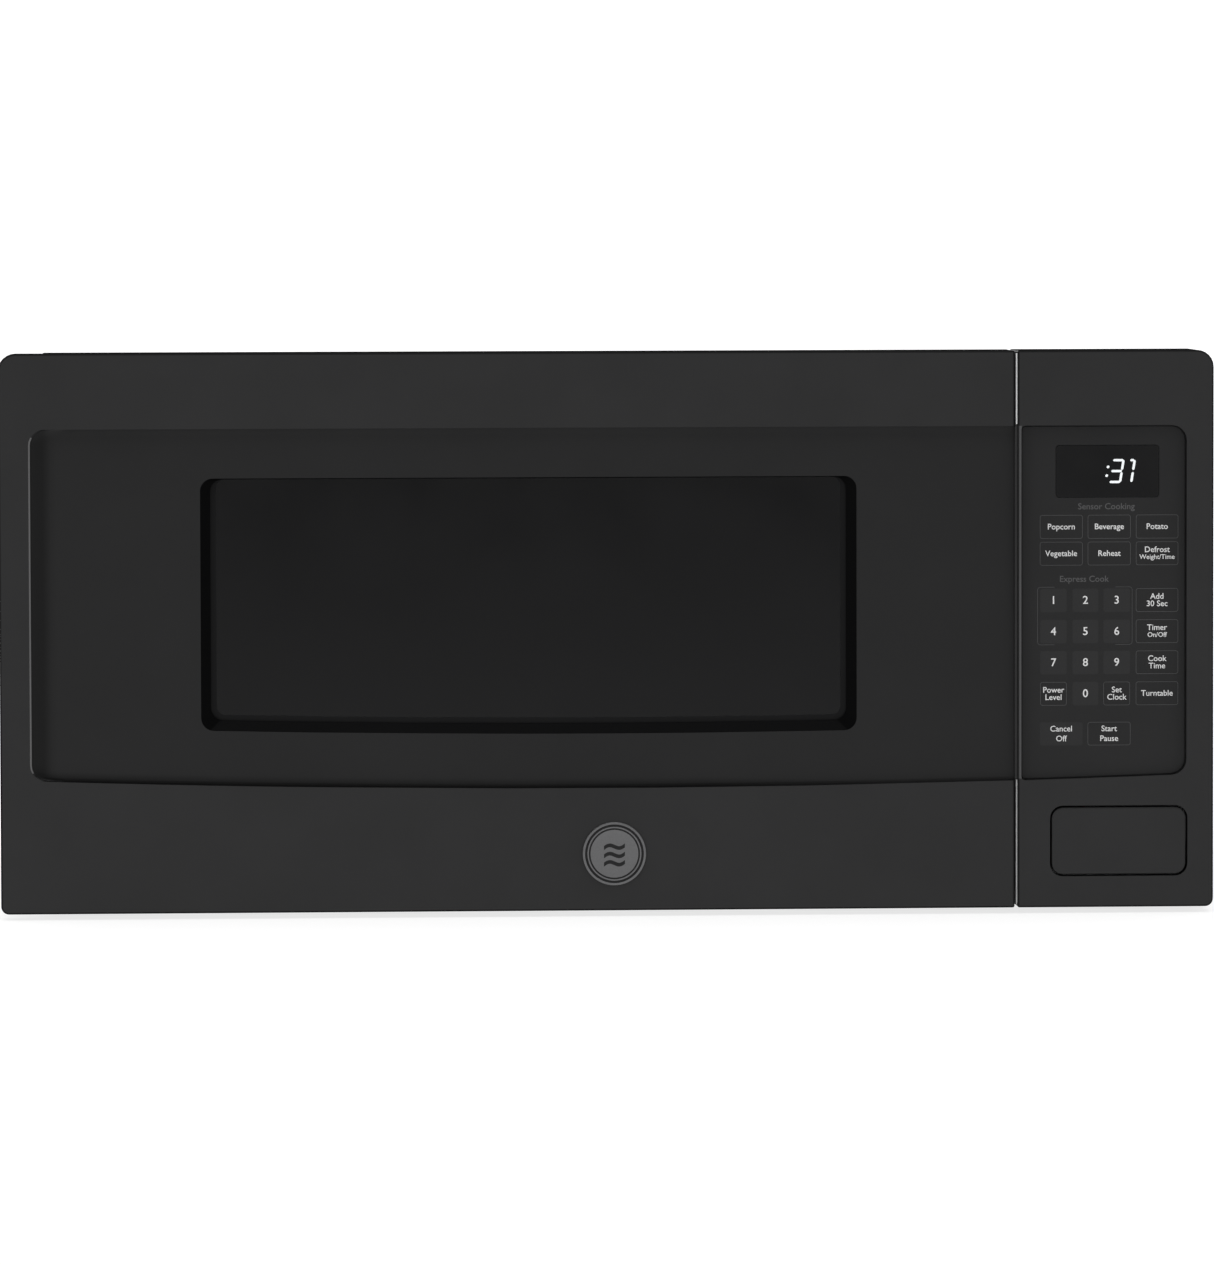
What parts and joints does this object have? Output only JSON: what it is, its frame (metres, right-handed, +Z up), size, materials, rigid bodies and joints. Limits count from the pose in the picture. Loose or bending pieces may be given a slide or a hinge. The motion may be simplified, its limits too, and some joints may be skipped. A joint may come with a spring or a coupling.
{
  "type": "microwave oven",
  "caption": "Compact microwave oven with a side-hung windowed door, membrane control panel, push-button door release and glass turntable; rests on feet or hangs under a cabinet.",
  "frame": {"origin": "on the counter under the centre of the overall box", "axes": "+X to the right along the front, -Y out of the front, +Z up"},
  "size_m": [0.613, 0.4, 0.285],
  "materials": {
    "front_charcoal": "satin moulded plastic",
    "keypad_film": "fine matte polyester film",
    "smoked_glass": "smoked glossy pane",
    "display_lens": "dark glossy lens",
    "badge_metal": "plated satin disc",
    "cabinet_paint": "textured powder coat",
    "zinc_sheet": "galvanised steel sheet",
    "cavity_enamel": "pale baked enamel",
    "choke_plastic": "black moulded plastic",
    "screen_paint": "perforated sheet, black paint",
    "clear_window": "clear",
    "tray_glass": "clear moulded glass",
    "lamp_glass": "lamp glass",
    "rubber_black": "matte",
    "zinc_screw": "zinc plated",
    "steel_shaft": "ground steel",
    "spring_steel": "spring wire",
    "acetal_white": "natural acetal",
    "board_plastic": "cream moulded plastic",
    "shroud_plastic": "black moulded plastic",
    "mica": "pressed mica sheet",
    "circuit_board": "green laminate",
    "board_component": "moulded components",
    "display_tube": "glass display tube",
    "motor_steel": "zinc and lacquer",
    "fin_aluminium": "bare",
    "antenna_copper": "copper cap",
    "core_iron": "varnished laminations",
    "coil_copper": "enamelled wire",
    "fuse_ceramic": "ceramic"
  },
  "bodies": {
    "oven": {"control_panel_frame": "front_charcoal", "keypad_membrane": "keypad_film", "display_window": "display_lens", "outer_cabinet": "cabinet_paint", "rear_panel": "zinc_sheet", "base_plate": "zinc_sheet", "hinge_brackets": "zinc_sheet", "waveguide": "zinc_sheet", "capacitor_clamp": "zinc_sheet", "magnetron_yoke": "zinc_sheet", "magnetron_filter_box": "zinc_sheet", "oven_cavity": "cavity_enamel", "front_plate": "cavity_enamel", "oven_lamp": "lamp_glass", "feet": "rubber_black", "cord_bush": "rubber_black", "cabinet_screws": "zinc_screw", "mounting_nuts": "zinc_screw", "hinge_pins": "steel_shaft", "button_spring": "spring_steel", "latch_board": "board_plastic", "lamp_socket": "board_plastic", "humidity_sensor": "board_plastic", "fan_shroud": "shroud_plastic", "cavity_thermostat": "shroud_plastic", "magnetron_thermostat": "shroud_plastic", "interlock_switches": "shroud_plastic", "waveguide_cover": "mica", "control_board": "circuit_board", "line_filter_board": "circuit_board", "board_parts": "board_component", "display_module": "display_tube", "turntable_motor": "motor_steel", "fan_motor": "motor_steel", "magnetron_fins": "fin_aluminium", "capacitor": "fin_aluminium", "magnetron_antenna": "antenna_copper", "transformer_core": "core_iron", "transformer_coils": "coil_copper", "line_fuse": "fuse_ceramic"},
    "door": {"door_skin": "front_charcoal", "door_window": "smoked_glass", "door_frame": "zinc_sheet", "door_screen": "screen_paint", "inner_window": "clear_window", "choke_cover": "choke_plastic", "door_badge": "badge_metal", "latch_spring": "spring_steel"},
    "latch": {"latch_hooks": "acetal_white"},
    "push_button": {"release_button": "front_charcoal"},
    "lever": {"release_lever": "acetal_white"},
    "turntable": {"turntable_tray": "tray_glass", "drive_coupler": "acetal_white", "drive_shaft": "steel_shaft"},
    "roller_ring": {"roller_ring": "acetal_white"},
    "roller_1": {"roller_1": "acetal_white"},
    "roller_2": {"roller_2": "acetal_white"},
    "roller_3": {"roller_3": "acetal_white"},
    "fan": {"fan_blade": "acetal_white", "fan_shaft": "steel_shaft"}
  },
  "joints": [
    {"name": "door_hinge", "type": "hinge", "parent": "oven", "child": "door", "pos_m": [-0.2995, -0.1782, 0.144], "axis": [0, 0, -1], "range_deg": [0, 105]},
    {"name": "latch_lift", "type": "slide", "parent": "door", "child": "latch", "axis": [0, 0, 1], "range_m": [0, 0.005], "stiffness_N_per_m": 120, "springref_m": -0.01, "deforming": ["latch_spring"]},
    {"name": "button_push", "type": "slide", "parent": "oven", "child": "push_button", "axis": [0, 1, 0], "range_m": [0, 0.006], "stiffness_N_per_m": 400, "springref_m": -0.004, "deforming": ["button_spring"]},
    {"name": "lever_tilt", "type": "hinge", "parent": "oven", "child": "lever", "pos_m": [0.22, -0.15, 0.0583], "axis": [1, 0, 0], "range_deg": [0, 24.2]},
    {"name": "turntable_spin", "type": "hinge", "parent": "oven", "child": "turntable", "pos_m": [-0.05, 0.0063, 0.0566], "axis": [0, 0, 1], "continuous": true},
    {"name": "ring_spin", "type": "hinge", "parent": "oven", "child": "roller_ring", "pos_m": [-0.05, 0.0063, 0.0473], "axis": [0, 0, 1], "continuous": true},
    {"name": "roller_1_spin", "type": "hinge", "parent": "roller_ring", "child": "roller_1", "pos_m": [-0.05, 0.1113, 0.0473], "axis": [0, 1, 0], "continuous": true},
    {"name": "roller_2_spin", "type": "hinge", "parent": "roller_ring", "child": "roller_2", "pos_m": [-0.14093, -0.0462, 0.0473], "axis": [-0.866, -0.5, 0], "continuous": true},
    {"name": "roller_3_spin", "type": "hinge", "parent": "roller_ring", "child": "roller_3", "pos_m": [0.04093, -0.0462, 0.0473], "axis": [0.866, -0.5, 0], "continuous": true},
    {"name": "fan_spin", "type": "hinge", "parent": "oven", "child": "fan", "pos_m": [0.23425, 0.18, 0.15], "axis": [0, 1, 0], "continuous": true}
  ],
  "couplings": [
    {"joint": "lever_tilt", "follows": "button_push", "rad_per_m": 70.1},
    {"joint": "latch_lift", "follows": "button_push", "ratio": 0.8333},
    {"joint": "ring_spin", "follows": "turntable_spin", "ratio": 0.5},
    {"joint": "roller_1_spin", "follows": "turntable_spin", "ratio": -5.8333},
    {"joint": "roller_2_spin", "follows": "turntable_spin", "ratio": -5.8333},
    {"joint": "roller_3_spin", "follows": "turntable_spin", "ratio": -5.8333}
  ]
}
